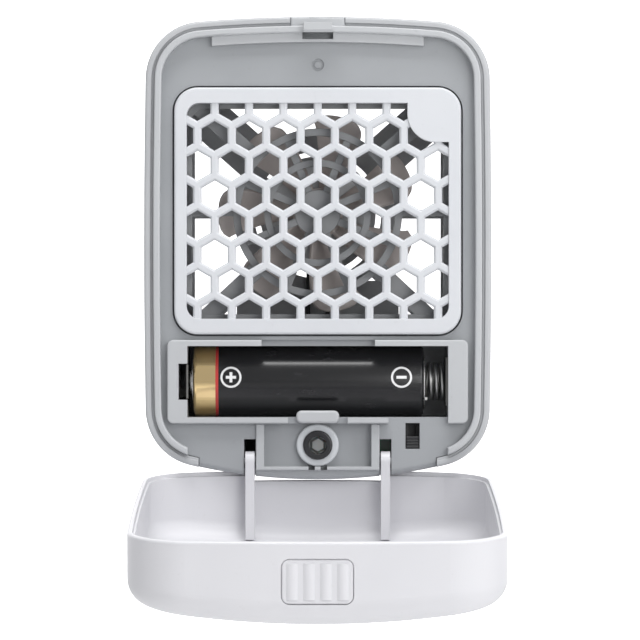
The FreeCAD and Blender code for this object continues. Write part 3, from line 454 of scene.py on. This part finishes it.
def printed_sleeve():
    """Glossy black print with a gold band and a red line at the positive end, and the two polarity signs."""
    finish = Finish("cell_print", 0.26, Coat_Weight=0.12)
    x, y, z = finish.axes()
    up = z - (cell_centre[1] + SIGN_UP)
    facing = y < cell_centre[0]
    gold = x < GOLD_END
    line = x.between(GOLD_END, LINE_END)
    signs = sign_mask(x, up, facing, PLUS_X, True).larger(sign_mask(x, up, facing, MINUS_X, False))
    scuff = finish.noise(0.0024, 5.0, 0.7, (0.4, 1.0, 1.0)).ease(0.56, 0.80)
    black = finish.blend(rgb(0.009, 0.009, 0.010), rgb(0.026, 0.026, 0.028), scuff)
    colour = finish.blend(black, rgb(0.93, 0.70, 0.36), gold)
    colour = finish.blend(colour, rgb(0.52, 0.045, 0.040), line)
    finish.feed(Base_Color=finish.blend(colour, rgb(0.82, 0.82, 0.82), signs))
    finish.feed(Metallic=gold, Roughness=scuff * 0.14 + 0.24 - gold * 0.10)
    finish.relief(finish.noise(0.0009, 2.0), 0.000005)
    return finish


sleeve.data.materials.append(printed_sleeve().material)
print(f"print: gold band {BAND_WIDTH / MM:.1f} mm wide, signs {2 * SIGN_R / MM:.1f} mm across")

# %% [markdown]
# ## The fan wheel
#
# A small moulded fan has thin blades that are cupped and twisted: steep at the hub and flatter at the
# tip. A flat CAD slab reads as cardboard, so each blade is a grid of points over radius and sweep, given
# a pitch that falls with radius and a camber that bows it. A Solidify modifier gives it thickness and a
# Bevel rounds its rim.

# %% One blade as a grid of points
fan_low, fan_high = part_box("fan_rotor")
fan_spin = next(joint for joint in frame["joints"] if joint["name"] == "fan_spin")
FAN_Z = fan_spin["pos_m"][2]
FAN_MID = (fan_low.y + fan_high.y) / 2
HUB_R = 0.0052
TIP_R = 0.0206
BLADES = 7
FIRST_DEG = 17.0
BLADE_T = 0.0009
ROOT_SINK = 0.0006
SPAN_DEG = 34.0
SPAN_LOSS_DEG = 4.0
LEAN_DEG = 9.0
PITCH = 0.0020
PITCH_LOSS = 0.0003
CAMBER = 0.0005
TIP_ROUND_FROM = 0.86
TIP_ROUND = 0.0016


def blade_point(u, v, turn):
    """u runs from the hub to the tip and v from the leading edge to the trailing edge, both 0 to 1."""
    root = HUB_R - ROOT_SINK
    span = math.radians(SPAN_DEG - SPAN_LOSS_DEG * u)
    lean = math.radians(LEAN_DEG) * u
    angle = turn + lean + (v - 0.5) * span
    pitch = PITCH - PITCH_LOSS * u
    depth = FAN_MID + (v - 0.5) * 2 * pitch + CAMBER * math.sin(math.pi * v)
    corner = max(0.0, u - TIP_ROUND_FROM) / (1 - TIP_ROUND_FROM) * (2 * abs(v - 0.5)) ** 4
    radius = root + u * (TIP_R - root) - TIP_ROUND * corner
    return Vector((radius * math.cos(angle), depth, FAN_Z + radius * math.sin(angle)))


def fan_wheel():
    """All the blades as one object, thickened and with their edges rounded."""
    across, along = 12, 10
    mesh = bmesh.new()
    for blade in range(BLADES):
        turn = math.radians(FIRST_DEG + 360.0 * blade / BLADES)
        grid = [[mesh.verts.new(blade_point(i / across, j / along, turn)) for j in range(along + 1)]
                for i in range(across + 1)]
        for i in range(across):
            for j in range(along):
                mesh.faces.new((grid[i][j], grid[i + 1][j], grid[i + 1][j + 1], grid[i][j + 1]))
    blades = as_object("fan_blades", mesh, 50.0)
    for kind, settings in (("SOLIDIFY", {"thickness": BLADE_T, "offset": 0.0}),
                           ("BEVEL", {"width": 0.0002, "segments": 2, "limit_method": "ANGLE"})):
        modifier = blades.modifiers.new(kind.title(), kind)
        for setting, value in settings.items():
            setattr(modifier, setting, value)
    return blades


# %% [markdown]
# The hub is turned, with a soft nose and a shallow ring around its centre where the shaft is pressed in.
# It is spun like the sleeve, then turned a quarter so that its axis runs front to back.

# %% The hub with its rounded nose
NOSE_R = 0.0014
DIMPLE = 0.0002
HUB_EDGE = 0.0003


def hub():
    front, back = fan_low.y, fan_high.y
    profile = [(front, 0), (front, 0.0012), (front + DIMPLE, 0.0016), (front + DIMPLE, 0.0026)]
    for k in range(6):
        a = math.pi / 2 * k / 5
        profile.append((front + NOSE_R - NOSE_R * math.cos(a), HUB_R - NOSE_R + NOSE_R * math.sin(a)))
    profile += [(back - HUB_EDGE, HUB_R), (back, HUB_R - HUB_EDGE), (back, 0)]
    made = spun("fan_hub", profile, (0.0, 0.0), 64)
    made.data.transform(Matrix.Translation((0, 0, FAN_Z)) @ Matrix.Rotation(math.radians(90), 4, "Z"))
    return made


wheel_finish = moulded("blade_beige", rgb(0.740, 0.670, 0.635), rgb(0.700, 0.630, 0.595), 0.44)
for piece in (fan_wheel(), hub()):
    piece.data.materials.append(wheel_finish.material)
    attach(piece, "fan")
    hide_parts("fan_rotor")
    print(f"{piece.name}: {len(piece.data.vertices)} points before its modifiers")

# %% [markdown]
# ## Stage, light and camera
#
# The object is shown against white, with soft light from above and in front, and more from the right
# side. A pale floor far below and a bright backdrop behind keep the open parts of the fan white. The
# camera is far away with a long lens, level, and a little below the middle of the case.

# %% A pale floor and a bright backdrop
def plane(name, size, place, tilt_deg, glow):
    mesh = bmesh.new()
    bmesh.ops.create_grid(mesh, x_segments=8, y_segments=8, size=size / 2)
    made = as_object(name, mesh)
    made.matrix_world = Matrix.Translation(place) @ Matrix.Rotation(math.radians(tilt_deg), 4, "X")
    finish = Finish(name, 0.9)
    cloud = finish.noise(0.4, 2.0)
    finish.feed(Base_Color=finish.blend(rgb(0.86, 0.86, 0.86), rgb(0.83, 0.83, 0.83), cloud))
    finish.shader.inputs["Emission Color"].default_value = rgb(1, 1, 1)
    finish.shader.inputs["Emission Strength"].default_value = glow
    made.data.materials.append(finish.material)
    print(f"{name}: {size} m across")
    return made


plane("floor", 8.0, (0, 0.0, -0.25), 0, 0.0)
plane("backdrop", 6.0, (0, 2.2, 1.5), 90, 1.0)

# %% [markdown]
# Four area lamps make the soft light. The top one is the strongest, because it fills the open tray. The
# two in front stand to the right, and the one at the side draws a light edge along the case.

# %% Soft lamps
CASE_CENTRE = (0, -0.02, 0)
TRAY_SIDE = (0, -0.06, 0)


def softbox(name, place, target, size, power):
    lamp = bpy.data.lights.new(name, "AREA")
    lamp.shape = "RECTANGLE"
    lamp.size, lamp.size_y = size
    lamp.energy = power
    made = bpy.data.objects.new(name, lamp)
    bpy.context.scene.collection.objects.link(made)
    made.location = place
    made.rotation_euler = (Vector(target) - Vector(place)).to_track_quat("-Z", "Y").to_euler()
    print(f"{name} lamp: {power} W")
    return made


softbox("key", (0.34, -0.52, 0.24), CASE_CENTRE, (0.34, 0.30), 0.75)
softbox("front", (0.28, -0.66, 0.06), CASE_CENTRE, (0.30, 0.30), 0.95)
softbox("top", (0.02, -0.34, 0.85), TRAY_SIDE, (0.7, 0.4), 7.0)
softbox("side", (0.9, -0.30, 0.0), CASE_CENTRE, (0.5, 0.9), 1.9)

world = bpy.data.worlds.new("studio")
bpy.context.scene.world = world
world.use_nodes = True
world.node_tree.nodes["Background"].inputs["Color"].default_value = (0.97, 0.98, 1.0, 1.0)
world.node_tree.nodes["Background"].inputs["Strength"].default_value = 0.46
bpy.context.scene.view_settings.view_transform = "Standard"

# %% [markdown]
# A long lens far away keeps the sides of the case parallel and still lets the near edge of the tray look
# wider than its hinge. The camera stays level, so upright edges stay upright.

# %% Camera
camera_data = bpy.data.cameras.new("camera")
camera_data.sensor_width = 36.0
camera_data.lens = 239.0
camera = bpy.data.objects.new("camera", camera_data)
bpy.context.scene.collection.objects.link(camera)
camera.location = (0.00047, -0.894, -0.01565)
camera.rotation_euler = (math.radians(90), 0, 0)
bpy.context.scene.camera = camera
print(f"camera: {camera_data.lens:.0f} mm lens at {tuple(camera.location)}")
